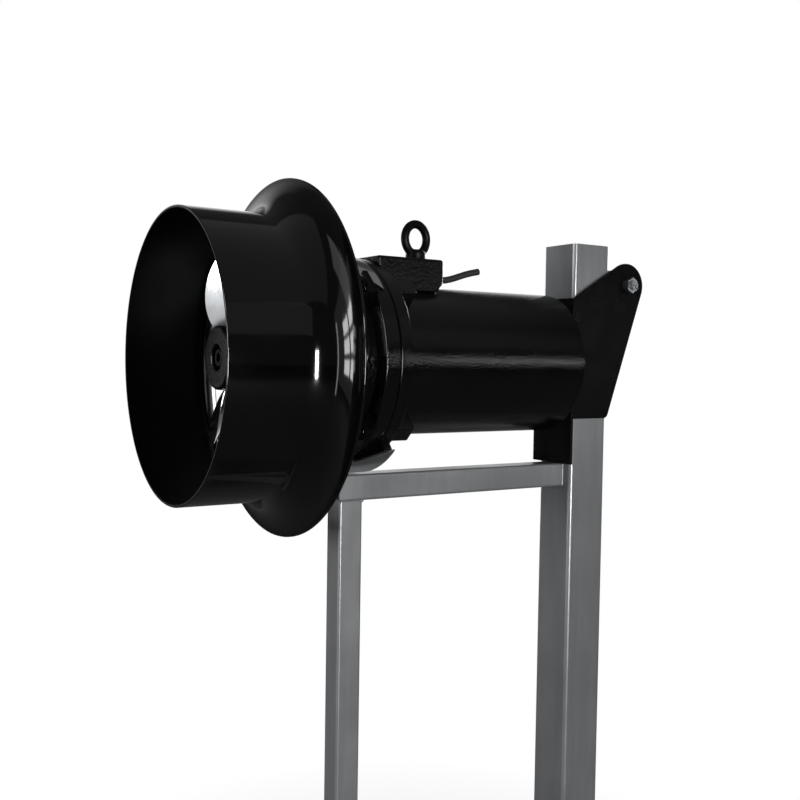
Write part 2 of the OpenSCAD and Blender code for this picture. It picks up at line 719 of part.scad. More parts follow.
guide_ring();
flange_bolts();
propeller();
hub_cap();
propeller_bolt();
propeller_washer();
shaft_key();
shaft();
seal_housing();
seal_housing_screws();
oil_plug();
seal_seat();
seal_ring();
seal_bellows();
front_flange();
flange_gasket();
front_bearing_outer();
front_bearing_balls();
front_bearing_inner();
motor_casing();
motor_flange();
stator_core();
stator_windings();
rotor_core();
rear_bearing_outer();
rear_bearing_balls();
rear_bearing_inner();
rear_cover();
cover_screws();
cable_box();
eye_bolt();
cable_gland();
cable();
bracket_plate();
bracket_screws();
slide_pad();
pad_screws();
near_cheek();
far_cheek();
guide_roller();
axle_bolt();
axle_washers();
axle_spacers();
axle_nut();
guide_post();
front_leg();
brace();
front_foot();
rear_foot();
base_rail();
foot_caps();
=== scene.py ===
# %% [markdown]
# # A submersible mixer on its guide rail
# A mixer for a water tank: a polished propeller turns inside a black guide ring, a sealed motor drives it,
# and a bracket with a roller lets the whole machine slide up and down a square steel post.
# The solids of the machine come ready made. Here they get their finer shapes, their paint and their light.

# %% Load the solids
import json
import math
import bmesh
import bpy
from mathutils import Matrix, Vector


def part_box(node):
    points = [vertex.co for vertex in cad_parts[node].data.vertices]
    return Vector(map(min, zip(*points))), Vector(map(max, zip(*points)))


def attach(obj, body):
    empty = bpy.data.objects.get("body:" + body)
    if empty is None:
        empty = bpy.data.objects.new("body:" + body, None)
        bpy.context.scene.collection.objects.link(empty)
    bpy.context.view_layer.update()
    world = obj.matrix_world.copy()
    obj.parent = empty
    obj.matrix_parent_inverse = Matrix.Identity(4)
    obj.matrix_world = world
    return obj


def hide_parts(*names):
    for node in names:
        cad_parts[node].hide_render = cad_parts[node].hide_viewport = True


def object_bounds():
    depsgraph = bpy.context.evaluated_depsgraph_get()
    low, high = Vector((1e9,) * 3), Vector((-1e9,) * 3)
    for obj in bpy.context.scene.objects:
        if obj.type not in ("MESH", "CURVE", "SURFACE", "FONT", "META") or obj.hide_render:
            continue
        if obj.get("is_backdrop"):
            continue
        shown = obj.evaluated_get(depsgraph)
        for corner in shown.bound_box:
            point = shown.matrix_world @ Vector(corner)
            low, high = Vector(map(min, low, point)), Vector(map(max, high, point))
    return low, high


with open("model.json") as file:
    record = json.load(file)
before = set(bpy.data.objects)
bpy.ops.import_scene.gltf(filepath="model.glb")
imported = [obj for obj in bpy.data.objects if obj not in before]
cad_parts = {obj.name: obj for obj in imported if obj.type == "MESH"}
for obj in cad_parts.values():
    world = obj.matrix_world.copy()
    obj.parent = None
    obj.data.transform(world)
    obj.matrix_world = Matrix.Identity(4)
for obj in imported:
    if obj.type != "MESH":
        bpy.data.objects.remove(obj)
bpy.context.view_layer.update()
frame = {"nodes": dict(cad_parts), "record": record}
nodes = frame["nodes"]

# %% [markdown]
# ## Where things are
# Every size below is in millimetres, as on a workshop drawing. The mixer's axis lies level along X.
# A place on it is given by t, the distance behind the front of the guide ring, a radius from the axis,
# and an angle from straight up towards the near side. One function turns these into Blender's metres.
# A second one counts straight from the axis, and a third follows a line that runs out like a spoke.

# %% Places on the mixer's axis
MM = 0.001
FRONT_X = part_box("guide_ring")[0].x
AXIS_Z = sum(corner.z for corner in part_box("motor_casing")) / 2
RING_R, RING_WALL, RING_LEN, FLARE_R = 154, 3, 80, 39
BELL_R, BELL_T = RING_R + FLARE_R, RING_LEN + FLARE_R
FLANGE_R, FLANGE_T, JOINT_T, BACK_T = 114, 191, 209, 224
MOTOR_R, MOTOR_END, PLATE_T, PLATE_BACK = 86.5, 485, 514.6, 518.5
BOSS_ANGLES = (43, -43, 137, -137)


def on_axis(t, r, angle):
    return Vector((FRONT_X + t * MM, -r * MM * math.sin(angle), AXIS_Z + r * MM * math.cos(angle)))


def beside_axis(t, near, up):
    return Vector((FRONT_X + t * MM, -near * MM, AXIS_Z + up * MM))


def spoke(degrees):
    turn = math.radians(degrees)
    across = on_axis(0, 1, turn + math.pi / 2) - on_axis(0, 0, 0)
    return lambda r, w, t: on_axis(t, r, turn) + across * w


print("axis height:", round(AXIS_Z, 4), "front of the ring:", round(FRONT_X, 4))

# %% [markdown]
# ## The camera
# The photograph was taken from the near side, a little in front of the ring, at the height of the axis.
# The camera's place was found by fitting the square tubes of the stand, so it is set by numbers
# and not by eye: where it stands, which way it looks, how far it leans, and its lens.

# %% Set up the camera
stand_at = (-0.6572, -0.9783, 0.7296)
look_yaw, look_down, lean = math.radians(32.314), math.radians(2.271), math.radians(0.893)
ahead = Vector((math.sin(look_yaw) * math.cos(look_down), math.cos(look_yaw) * math.cos(look_down),
    -math.sin(look_down)))
level = Vector((math.cos(look_yaw), -math.sin(look_yaw), 0))
above = level.cross(ahead)
right = level * math.cos(lean) + above * math.sin(lean)
top = above * math.cos(lean) - level * math.sin(lean)
camera_data = bpy.data.cameras.new("camera")
camera_data.lens, camera_data.sensor_width = 44.31, 36
camera = bpy.data.objects.new("camera", camera_data)
camera.matrix_world = Matrix.Translation(stand_at) @ Matrix((right, top, -ahead)).transposed().to_4x4()
bpy.context.collection.objects.link(camera)
bpy.context.scene.camera = camera
print("camera at", [round(v, 3) for v in camera.matrix_world.translation])

# %% [markdown]
# ## The cable's tail
# A short tail of black rubber cable leaves the box on top of the motor and ends, cut off, in the open air.
# A cable is one round section drawn along a line, so a curve with a bevel is the natural way to make it:
# its line stays a line, and the tools can measure its real length. The thickness is set at each point,
# because Blender counts a point's radius when it measures the box of a curve.

# %% Draw the cable
corners = [(304, 97), (321, 97), (335, 97), (342, 97.6), (349, 99.1), (356, 101.2), (363, 103.5),
    (371, 106), (380, 108.4), (390, 110.5)]
middles = [((a[0] + b[0]) / 2, (a[1] + b[1]) / 2) for a, b in zip(corners, corners[1:])]
cable_route = [point for pair in zip(corners, middles) for point in pair] + corners[-1:]
cable_d = 8
curve = bpy.data.curves.new("cable_tail", "CURVE")
curve.dimensions = "3D"
curve.bevel_depth, curve.bevel_resolution, curve.use_fill_caps = 1, 8, True
line = curve.splines.new("POLY")
line.points.add(len(cable_route) - 1)
for point, (t, up) in zip(line.points, cable_route):
    point.co = (*beside_axis(t, 0, up), 1)
    point.radius = cable_d / 2 * MM
line.use_smooth = True
cable = bpy.data.objects.new("cable_tail", curve)
bpy.context.collection.objects.link(cable)
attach(cable, "mixer")
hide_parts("cable")

# %% [markdown]
# ## How materials are written
# A colour is easiest to choose as a hex value, the way a paint card or an image editor shows it.
# Blender's shaders want linear light, so one function converts it. Another adds a node to a material:
# its settings, the values of its sockets and the links that feed it. A Mix node has several sockets
# called A and B, so those for colours are picked by their place in the list.

# %% Colour and node helpers
def paint(hex_value):
    parts = [int(hex_value[i:i + 2], 16) / 255 for i in (1, 3, 5)]
    return (*[v / 12.92 if v <= 0.04045 else ((v + 0.055) / 1.055) ** 2.4 for v in parts], 1)


def add(tree, kind, values={}, links={}, **settings):
    made = tree.nodes.new(kind)
    for name, value in settings.items():
        setattr(made, name, value)
    for socket, value in values.items():
        made.inputs[socket].default_value = value
    for socket, (source, output) in links.items():
        tree.links.new(source.outputs[output], made.inputs[socket])
    return made


def new_material(slot, name):
    finishes[slot] = bpy.data.materials.new(name)
    finishes[slot].use_nodes = True
    tree = finishes[slot].node_tree
    tree.nodes.clear()
    return tree, add(tree, "ShaderNodeTexCoord")


def per_mm(size):
    return 1 / (size * MM)


finishes = {}
MIX_A, MIX_B, MIX_OUT = 6, 7, 2
print("a mid grey is", [round(v, 3) for v in paint("#808080")[:3]])

# %% [markdown]
# ## Gloss black paint on spun sheet
# The guide ring is spun from steel sheet and sprayed with gloss black enamel. The eye sees deep black with
# clear, slightly wavy reflections: the wave is the paint's orange peel, a few millimetres across, and
# wiped-off dust leaves some places a little duller than others. Inside the ring there is only matt primer,
# so the distance from the axis decides how rough and how shiny the paint is.

# %% Gloss black paint
tree, place = new_material("gloss_black_paint", "sprayed_gloss_black_enamel")
smudge = add(tree, "ShaderNodeTexNoise", {"Scale": per_mm(55), "Detail": 4}, {"Vector": (place, "Object")})
dull = add(tree, "ShaderNodeMapRange", {"From Min": 0.4, "From Max": 0.75, "To Min": 0.06, "To Max": 0.14},
    {"Value": (smudge, 0)})
shift = add(tree, "ShaderNodeMapping", {"Location": (0, 0, -AXIS_Z), "Scale": (0, 1, 1)},
    {"Vector": (place, "Object")})
off_axis = add(tree, "ShaderNodeVectorMath", {}, {0: (shift, 0)}, operation="LENGTH")
in_sheet = {"From Min": (RING_R - 2) * MM, "From Max": (RING_R - 1) * MM}
matt = add(tree, "ShaderNodeMapRange", {**in_sheet, "To Min": 0.34, "To Max": 0.0}, {"Value": (off_axis, "Value")})
dull = add(tree, "ShaderNodeMath", {}, {0: (dull, 0), 1: (matt, 0)}, operation="ADD")
shine = add(tree, "ShaderNodeMapRange", {**in_sheet, "To Min": 0.08, "To Max": 0.5}, {"Value": (off_axis, "Value")})
tint = add(tree, "ShaderNodeMix", {MIX_A: paint("#020203"), MIX_B: paint("#060607")}, {0: (smudge, 0)},
    data_type="RGBA")
peel = add(tree, "ShaderNodeTexNoise", {"Scale": per_mm(6), "Detail": 1}, {"Vector": (place, "Object")})
wave = add(tree, "ShaderNodeBump", {"Strength": 0.5, "Distance": 0.01 * MM}, {"Height": (peel, 0)})
coat = add(tree, "ShaderNodeBsdfPrincipled", {"IOR": 1.5}, {"Base Color": (tint, MIX_OUT), "Roughness": (dull, 0),
    "Specular IOR Level": (shine, 0), "Normal": (wave, 0)})
add(tree, "ShaderNodeOutputMaterial", {}, {"Surface": (coat, 0)})
print("finish:", finishes["gloss_black_paint"].name)

# %% [markdown]
# ## Grained finishes
# Most other surfaces here share one build: a grain that dents the surface, a slow smudge that changes how dull
# it is, and two shades that mix by both. What sets cast iron, forged steel, rubber, nylon and copper apart is
# the size of the grain, its depth, the shine and whether it is a metal. So one function makes them all,
# and each call says which real material it is. Grain and depth are in millimetres.

# %% A finish with a grain
def grained(slot, name, dark, light, grain, depth, rough, metal=0.0, shine=0.5, stretch=(1, 1, 1)):
    tree, place = new_material(slot, name)
    lie = add(tree, "ShaderNodeMapping", {"Scale": stretch}, {"Vector": (place, "Object")})
    bits = add(tree, "ShaderNodeTexNoise", {"Scale": per_mm(grain), "Detail": 2.5, "Roughness": 0.55},
        {"Vector": (lie, 0)})
    smudge = add(tree, "ShaderNodeTexNoise", {"Scale": per_mm(38), "Detail": 3}, {"Vector": (place, "Object")})
    mottle = add(tree, "ShaderNodeMath", {2: 0.22}, {0: (bits, 0), 1: (smudge, 0)}, operation="MULTIPLY_ADD")
    tint = add(tree, "ShaderNodeMix", {MIX_A: paint(dark), MIX_B: paint(light)}, {0: (mottle, 0)},
        data_type="RGBA")
    dull = add(tree, "ShaderNodeMapRange", {"From Min": 0.35, "From Max": 0.7, "To Min": rough[0],
        "To Max": rough[1]}, {"Value": (smudge, 0)})
    dents = add(tree, "ShaderNodeBump", {"Strength": 1, "Distance": depth * MM}, {"Height": (bits, 0)})
    skin = add(tree, "ShaderNodeBsdfPrincipled", {"Metallic": metal, "Specular IOR Level": shine},
        {"Base Color": (tint, MIX_OUT), "Roughness": (dull, 0), "Normal": (dents, 0)})
    add(tree, "ShaderNodeOutputMaterial", {}, {"Surface": (skin, 0)})


# Brush-painted casing: a glossy hammered skin with dimples of 2 to 3 mm breaks up each highlight.
grained("textured_black_paint", "hammered_black_paint_on_cast_iron", "#030304", "#09090a", 2.6, 0.3,
    (0.09, 0.16), shine=0.35)
# Sand-cast iron under paint: coarse lumps from the mould each catch a small light of their own.
grained("black_cast_iron", "sand_cast_iron_painted_black", "#030304", "#0b0b0c", 4.2, 0.9,
    (0.18, 0.28), shine=0.2)
# Powder-coated plate: an even, semi-matt coat with a shallow orange peel.
grained("bracket_black_paint", "powder_coated_black_plate", "#030304", "#09090a", 3.0, 0.08,
    (0.25, 0.4), shine=0.08)
# Drop-forged eye, painted black: smooth scale with shallow hollows.
grained("black_forged_eye", "forged_steel_painted_black", "#030303", "#0a0a0b", 2.2, 0.1,
    (0.32, 0.45), shine=0.12)
# Cold-headed stainless screws: bright metal with a faint satin grain.
grained("stainless_fasteners", "cold_headed_stainless_steel", "#a2a5a8", "#c6c9cc", 1.0, 0.01,
    (0.2, 0.32), metal=1.0)
# Turned shaft steel: fine rings left by the lathe, drawn coarser than real so that they show.
grained("turned_steel", "lathe_turned_carbon_steel", "#8d9094", "#b4b7ba", 6, 0.01,
    (0.22, 0.34), metal=1.0, stretch=(9, 1, 1))
# Ground and lapped bearing steel: almost a mirror.
grained("bearing_steel", "ground_bearing_steel", "#b0b3b6", "#cdd0d2", 2.0, 0.002,
    (0.08, 0.16), metal=1.0)
# Silicon carbide seal faces: dark grey ceramic, lapped flat.
grained("seal_face", "lapped_silicon_carbide", "#2c2e31", "#45484c", 0.9, 0.01,
    (0.16, 0.26))
# Moulded nitrile rubber: matt black with a soft bloom.
grained("seal_rubber", "moulded_nitrile_rubber", "#131313", "#242424", 1.5, 0.04,
    (0.6, 0.75), shine=0.3)
# Stacked motor sheets: thin lines across the axis from each stamped sheet, drawn coarser than real.
grained("core_plate", "stacked_electrical_steel", "#4d5054", "#777b7f", 9, 0.12,
    (0.4, 0.55), metal=0.9, stretch=(8, 1, 1))
# Enamelled copper wire: warm brown-red strands side by side.
grained("winding_copper", "enamelled_copper_wire", "#7a3f1c", "#b87036", 7, 0.25,
    (0.25, 0.4), metal=0.7, stretch=(1, 5, 5))
# Glass-filled nylon gland: dark grey, with the fine spark texture of its mould.
grained("gland_plastic", "spark_textured_polyamide", "#141415", "#232325", 0.8, 0.04,
    (0.42, 0.55), shine=0.4)
# Extruded cable jacket: grey-black rubber with fine lines along its run.
grained("cable_rubber", "extruded_rubber_jacket", "#191a1b", "#2c2d2f", 3.0, 0.05,
    (0.42, 0.55), shine=0.45, stretch=(0.25, 1, 1))
# Cast nylon roller and strip: black and waxy, with faint turning lines.
grained("roller_nylon", "turned_black_cast_nylon", "#0f0f10", "#1b1b1c", 3.0, 0.03,
    (0.4, 0.52), shine=0.3, stretch=(1, 4, 1))
# Injection-moulded end caps: plain black polyethylene.
grained("cap_plastic", "moulded_polyethylene", "#121213", "#1e1e20", 1.6, 0.03,
    (0.45, 0.6), shine=0.4)
print("grained finishes:", len(finishes) - 1)

# %% [markdown]
# ## Mirror-polished stainless steel
# The blades are cast in stainless steel and buffed by hand. The eye sees mostly what stands round them,
# a little smeared along the buffing strokes. Stretched noise changes the roughness in streaks, and a
# bump of a few hundredths of a millimetre makes the reflections swim as on a hand-finished face.

# %% Polished stainless steel
tree, place = new_material("polished_stainless", "buffed_stainless_steel")
lie = add(tree, "ShaderNodeMapping", {"Scale": (6, 1, 1)}, {"Vector": (place, "Object")})
strokes = add(tree, "ShaderNodeTexNoise", {"Scale": per_mm(12), "Detail": 3}, {"Vector": (lie, 0)})
dull = add(tree, "ShaderNodeMapRange", {"From Min": 0.3, "From Max": 0.75, "To Min": 0.1, "To Max": 0.24},
    {"Value": (strokes, 0)})
tint = add(tree, "ShaderNodeMix", {MIX_A: paint("#c4c7ca"), MIX_B: paint("#dcdee0")}, {0: (strokes, 0)},
    data_type="RGBA")
swell = add(tree, "ShaderNodeTexNoise", {"Scale": per_mm(28), "Detail": 1}, {"Vector": (place, "Object")})
wave = add(tree, "ShaderNodeBump", {"Strength": 0.5, "Distance": 0.06 * MM}, {"Height": (swell, 0)})
metal = add(tree, "ShaderNodeBsdfPrincipled", {"Metallic": 1.0},
    {"Base Color": (tint, MIX_OUT), "Roughness": (dull, 0), "Normal": (wave, 0)})
add(tree, "ShaderNodeOutputMaterial", {}, {"Surface": (metal, 0)})
print("finish:", finishes["polished_stainless"].name)

# %% [markdown]
# ## Satin silver paint on square tube
# The stand is welded from square steel tube and sprayed with aluminium-flake paint. It looks like dull metal:
# bright along rounded corners, darker on flat faces, with long faint streaks up the tube and a few small
# chips where the dark primer shows. The flakes are too fine to see, so a half metallic shader stands for them.

# %% Silver paint
tree, place = new_material("silver_paint", "sprayed_aluminium_flake_paint")
along = add(tree, "ShaderNodeMapping", {"Scale": (1, 1, 0.12)}, {"Vector": (place, "Object")})
streak = add(tree, "ShaderNodeTexNoise", {"Scale": per_mm(9), "Detail": 4, "Roughness": 0.6},
    {"Vector": (along, 0)})
cloud = add(tree, "ShaderNodeTexNoise", {"Scale": per_mm(70), "Detail": 3}, {"Vector": (place, "Object")})
tint = add(tree, "ShaderNodeMix", {MIX_A: paint("#7d7f81"), MIX_B: paint("#919395")}, {0: (streak, 0)},
    data_type="RGBA")
spots = add(tree, "ShaderNodeTexNoise", {"Scale": per_mm(24), "Detail": 5, "Roughness": 0.7},
    {"Vector": (along, 0)})
chip = add(tree, "ShaderNodeMapRange", {"From Min": 0.735, "From Max": 0.75}, {"Value": (spots, 0)})
colour = add(tree, "ShaderNodeMix", {MIX_B: paint("#2b2c2e")}, {0: (chip, 0), MIX_A: (tint, MIX_OUT)},
    data_type="RGBA")
dull = add(tree, "ShaderNodeMapRange", {"From Min": 0.35, "From Max": 0.7, "To Min": 0.28, "To Max": 0.38},
    {"Value": (cloud, 0)})
sink = add(tree, "ShaderNodeMath", {1: 0.6}, {0: (streak, 0)}, operation="MULTIPLY")
level_of = add(tree, "ShaderNodeMath", {}, {0: (sink, 0), 1: (chip, 0)}, operation="SUBTRACT")
skin = add(tree, "ShaderNodeBump", {"Strength": 0.5, "Distance": 0.05 * MM}, {"Height": (level_of, 0)})
silver = add(tree, "ShaderNodeBsdfPrincipled", {"Metallic": 0.6},
    {"Base Color": (colour, MIX_OUT), "Roughness": (dull, 0), "Normal": (skin, 0)})
add(tree, "ShaderNodeOutputMaterial", {}, {"Surface": (silver, 0)})
print("finish:", finishes["silver_paint"].name)

# %% [markdown]
# ## Dress the solids that stay
# Screws, bearings, the shaft and other inner pieces keep the solids that came ready made. Each one gets the
# finish that the record names for it, so nothing in the machine is left in plain grey. The oil plug and
# the propeller's bolt were painted over with their neighbours, so they are dressed in black afterwards.

# %% Give every solid its finish
for part in frame["record"]["subparts"]:
    solid = nodes[part["node"]]
    if not solid.material_slots:
        solid.data.materials.append(finishes[part["material_slot"]])
    for holder in solid.material_slots:
        holder.material = finishes[part["material_slot"]]
painted_over = {"oil_plug": "textured_black_paint", "propeller_bolt": "black_forged_eye",
    "propeller_washer": "black_forged_eye"}
for name, slot in painted_over.items():
    nodes[name].material_slots[0].material = finishes[slot]
cable.data.materials.append(finishes["cable_rubber"])

# %% [markdown]
# ## Three ways to make a shape
# Nearly all of this machine is made by turning, by cutting plate and by drawing tube. So there are three
# helpers: one spins an outline round an axis, one gives a flat outline a thickness and breaks its edges,
# and one draws a hollow square tube. Two more join rows of points with faces and round the corners of an
# outline. The last one makes a piece that rides on its body. Its weighted normals keep large faces flat
# in the light, so that shading is smooth only across the small rounded edges.

# %% Shape helpers
def soften(points, radius, steps=4):
    out = []
    for i, corner in enumerate(points):
        corner, back, on = Vector(corner), Vector(points[i - 1]), Vector(points[(i + 1) % len(points)])
        a, b = back - corner, on - corner
        if a.angle(b) > math.radians(165):
            out.append(tuple(corner))
            continue
        reach = min(radius, a.length * 0.45, b.length * 0.45)
        start, end = corner + a.normalized() * reach, corner + b.normalized() * reach
        for k in range(steps + 1):
            f = k / steps
            out.append(tuple(start * (1 - f) ** 2 + corner * 2 * f * (1 - f) + end * f * f))
    return out


def join(bm, rows, closed=False):
    for here, after in zip(rows, rows[1:] + rows[:1] if closed else rows[1:]):
        for i in range(len(here)):
            j = (i + 1) % len(here)
            bm.faces.new((here[i], here[j], after[j], after[i]))
    if not closed:
        bm.faces.new(rows[0])
        bm.faces.new(rows[-1])


def spin(bm, outline, where=on_axis, steps=192):
    rows = [[bm.verts.new(where(t, r, 2 * math.pi * k / steps)) for r, t in outline] for k in range(steps)]
    join(bm, rows, closed=True)
    bmesh.ops.remove_doubles(bm, verts=[v for row in rows for v in row], dist=1e-6)


def slab(bm, outline, where, low, high, edge=0.8, segments=2):
    under = [bm.verts.new(where(u, v, low)) for u, v in outline]
    over = [bm.verts.new(where(u, v, high)) for u, v in outline]
    made = [bm.faces.new(under[::-1]), bm.faces.new(over)]
    for i in range(len(outline)):
        j = (i + 1) % len(outline)
        made.append(bm.faces.new((under[i], under[j], over[j], over[i])))
    bmesh.ops.recalc_face_normals(bm, faces=made)
    sharp = {e for f in made for e in f.edges if e.calc_face_angle(0) > math.radians(30)}
    bmesh.ops.bevel(bm, geom=list(sharp), offset=edge * MM, segments=segments, profile=0.5, affect="EDGES",
        clamp_overlap=True)


def square(side, corner, steps=7):
    c = side / 2 - corner
    return [(sx * c + corner * math.cos(q + a), sy * c + corner * math.sin(q + a))
        for q, sx, sy in ((0, 1, 1), (math.pi / 2, -1, 1), (math.pi, -1, -1), (3 * math.pi / 2, 1, -1))
        for a in [k * math.pi / 2 / (steps - 1) for k in range(steps)]]


def tube(bm, where, side, corner, wall, low, high):
    outer, inner = square(side, corner), square(side - 2 * wall, max(corner - wall, 0.6))
    rows = [[bm.verts.new(where(u, v, w)) for u, v in outline]
        for outline, w in ((outer, low), (outer, high), (inner, high), (inner, low))]
    join(bm, rows, closed=True)


def piece_of(bm, name, body, slot, *stands_for, crease=32):
    bmesh.ops.recalc_face_normals(bm, faces=bm.faces)
    mesh = bpy.data.meshes.new(name)
    bm.to_mesh(mesh)
    bm.free()
    mesh.shade_smooth()
    mesh.set_sharp_from_angle(angle=math.radians(crease))
    mesh.materials.append(finishes[slot])
    piece = bpy.data.objects.new(name, mesh)
    bpy.context.collection.objects.link(piece)
    even = piece.modifiers.new("flat_faces_stay_flat", "WEIGHTED_NORMAL")
    even.keep_sharp, even.weight = True, 90
    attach(piece, body)
    if stands_for:
        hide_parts(*stands_for)
    print(name, "faces:", len(mesh.polygons))
    return piece


# %% [markdown]
# ## The guide ring
# A straight sheet ring that opens into a bell at the rear, carried by four flat stays. Its outline is one sheet
# thickness drawn along a line and a quarter circle, then spun. Fine steps matter here: gloss paint shows
# every facet. The stays are cut plate, set on edge between the bell and the flange, and end in bolted tabs.

# %% Spin the ring and cut the stays
STAY_ANGLES, STAY_IN, STAY_OUT, STAY_HALF = (53, 127, 233, 307), 98, 114, 3
TAB_T, TAB_OUT, TAB_SHORT, TAB_LONG = 185, 118, 13, 22


def flare(angle, depth):
    reach = FLARE_R + depth
    return BELL_R - reach * math.cos(math.radians(angle)), RING_LEN + reach * math.sin(math.radians(angle))


bm = bmesh.new()
inner_r = RING_R - RING_WALL
lip = [(inner_r, 0.9), (inner_r + 0.3, 0.25), (inner_r + 0.9, 0), (RING_R - 0.9, 0), (RING_R - 0.3, 0.25),
    (RING_R, 0.9)]
front_face = [flare(a, 0) for a in range(0, 90, 2)]
rim = [(BELL_R - 0.6, BELL_T + 0.05), (BELL_R - 0.15, BELL_T + 0.4), (BELL_R, BELL_T + 1), (BELL_R, BELL_T + 2),
    (BELL_R - 0.15, BELL_T + 2.6), (BELL_R - 0.6, BELL_T + 2.95)]
rear_face = [flare(a, RING_WALL) for a in range(88, -1, -2)]
spin(bm, lip + front_face + rim + rear_face, steps=288)
stay = [flare(a, RING_WALL / 2) for a in range(8, 33, 4)]
stay += [(STAY_OUT, 156), (STAY_OUT, FLANGE_T), (STAY_IN, FLANGE_T), (STAY_IN, 177)]
for stay_angle in STAY_ANGLES:
    slab(bm, stay, lambda r, t, w, at=spoke(stay_angle): at(r, w, t), -STAY_HALF, STAY_HALF, edge=0.7)
for boss_angle, low, high in zip(BOSS_ANGLES, (-TAB_SHORT, -TAB_LONG, -TAB_LONG, -TAB_SHORT),
        (TAB_LONG, TAB_SHORT, TAB_SHORT, TAB_LONG)):
    tab = [(STAY_IN, low), (TAB_OUT, low), (TAB_OUT, high), (STAY_IN, high)]
    slab(bm, tab, spoke(boss_angle), TAB_T, FLANGE_T, edge=0.7)
piece_of(bm, "spun_guide_ring", "mixer", "gloss_black_paint", "guide_ring")

# %% [markdown]
# ## The straps
# Two curved straps of stainless sheet lie over the flange, one above and one below. A strap is a sheet bent round
# the axis and cut narrower at the front, so it is drawn as rows of four corners that turn step by step.

# %% Bend the straps
STRAP_T, STRAP_THICK, STRAP_FRONT_WIDE, STRAP_STEPS = 166, 2, 26, 40
bm = bmesh.new()
for middle, r_front, r_back, t_back, back_wide in ((0, 117, 114.6, 201, 50), (180, 126, 126, 221, 41)):
    rows = []
    for k in range(STRAP_STEPS + 1):
        reach = 2 * k / STRAP_STEPS - 1
        front = r_front, STRAP_T, math.radians(middle + reach * STRAP_FRONT_WIDE)
        back = r_back, t_back, math.radians(middle + reach * back_wide)
        ends = [(*front, 0), (*back, 0), (*back, STRAP_THICK), (*front, STRAP_THICK)]
        rows.append([bm.verts.new(on_axis(t, r + thick, turn)) for r, t, turn, thick in ends])
    join(bm, rows)
piece_of(bm, "rolled_ring_straps", "mixer", "polished_stainless")

# %% [markdown]
# ## The propeller
# Three broad blades on a hub. Each blade is a stack of thin sections, and each section is wrapped round its own
# radius and set at its own angle, just as a propeller is drawn. The same rule as in the solids is used with
# more rows and columns, so that the polished faces reflect without a break.

# %% Loft the blades
HUB_R, TIP_R, CHORD, THICK, PITCH, FIRST_BLADE, BLADE_T = 34, 132, 122, 6, 350, -15, 89.5
HUB_FRONT, HUB_BACK, HUB_BORE, CAP_FRONT = 64, 118, 17.6, 50
ROWS, COLS = 46, 26


def blade_point(step, s, side):
    root = HUB_R - 3
    r = root + (TIP_R - root) * (1 - (1 - step) ** 1.6)
    u = (r - root) / (TIP_R - root)
    slope = math.atan(PITCH / (2 * math.pi * r))
    along = s * CHORD * (0.44 + 1.06 * u - 0.5 * u * u) * math.sqrt(max(1 - u ** 7, 0.012))
    half = side * THICK * (1 - 0.68 * u) * (1 - 0.86 * abs(2 * s) ** 2.4) / 2
    turn = (along * math.cos(slope) - half * math.sin(slope)) / r + math.radians(16 * u * u - 4)
    return r, turn, BLADE_T + along * math.sin(slope) + half * math.cos(slope)


bm = bmesh.new()
across = [j / (COLS - 1) - 0.5 for j in range(COLS)]
section = [(s, 1) for s in across] + [(s, -1) for s in reversed(across)]
for k in range(3):
    first = math.radians(FIRST_BLADE + 120 * k)
    rows = []
    for i in range(ROWS):
        points = [blade_point(i / (ROWS - 1), s, side) for s, side in section]
        rows.append([bm.verts.new(on_axis(t, r, first + turn)) for r, turn, t in points])
    join(bm, rows)
hub = [(HUB_BORE, HUB_FRONT), (HUB_R, HUB_FRONT), (HUB_R, HUB_BACK), (HUB_BORE, HUB_BACK)]
spin(bm, soften(hub, 1.2), steps=128)
piece_of(bm, "polished_propeller", "rotor", "polished_stainless", "propeller", crease=50)
bm = bmesh.new()
cap = [(20, HUB_FRONT), (HUB_R, HUB_FRONT), (HUB_R, CAP_FRONT), (13, CAP_FRONT), (13, 57), (20, 57)]
spin(bm, soften(cap, 3.2), steps=128)
piece_of(bm, "cast_hub_cap", "rotor", "black_cast_iron", "hub_cap")

# %% [markdown]
# ## Flanges and motor casing
# The motor's front cover and its casing meet in two thick flanges, with a joint line between them and a boss
# behind each bolt. They are turned on a lathe, so their outlines are spun. The bosses are cast on,
# so they are plain blocks with well-rounded edges, and a curved pad below carries the lower strap.
# The bolts were painted together with the flange, so their heads are black too.

# %% Turn the flanges and the casing
BOSS_OUT, BOSS_HALF, BOSS_END = FLANGE_R - 3, 11, 247
PAD_IN, PAD_OUT, PAD_END = 110, 126.1, 220
BOLT_R, HEAD_R, WASHER_R, HEAD_T, WASHER_T = 104, 9.2, 9.8, 176.5, 183
bm = bmesh.new()
spin(bm, soften([(60, FLANGE_T), (FLANGE_R, FLANGE_T), (FLANGE_R, JOINT_T - 0.5), (90, JOINT_T - 0.5),
    (60, JOINT_T - 2)], 1.6))
piece_of(bm, "turned_front_flange", "mixer", "textured_black_paint", "front_flange")
bm = bmesh.new()
spin(bm, soften([(MOTOR_R + 0.02, JOINT_T), (FLANGE_R, JOINT_T), (FLANGE_R, BACK_T), (MOTOR_R + 3, BACK_T),
    (MOTOR_R + 0.02, BACK_T + 3)], 1.6))
block = [(MOTOR_R - 3, -BOSS_HALF), (BOSS_OUT, -BOSS_HALF), (BOSS_OUT, BOSS_HALF), (MOTOR_R - 3, BOSS_HALF)]
for boss_angle in BOSS_ANGLES:
    slab(bm, block, spoke(boss_angle), BACK_T - 2, BOSS_END, edge=2.2, segments=3)
arc = [math.radians(a) for a in range(140, 221, 4)]
pad = [(PAD_OUT * math.sin(a), PAD_OUT * math.cos(a)) for a in arc]
pad += [(PAD_IN * math.sin(a), PAD_IN * math.cos(a)) for a in reversed(arc)]
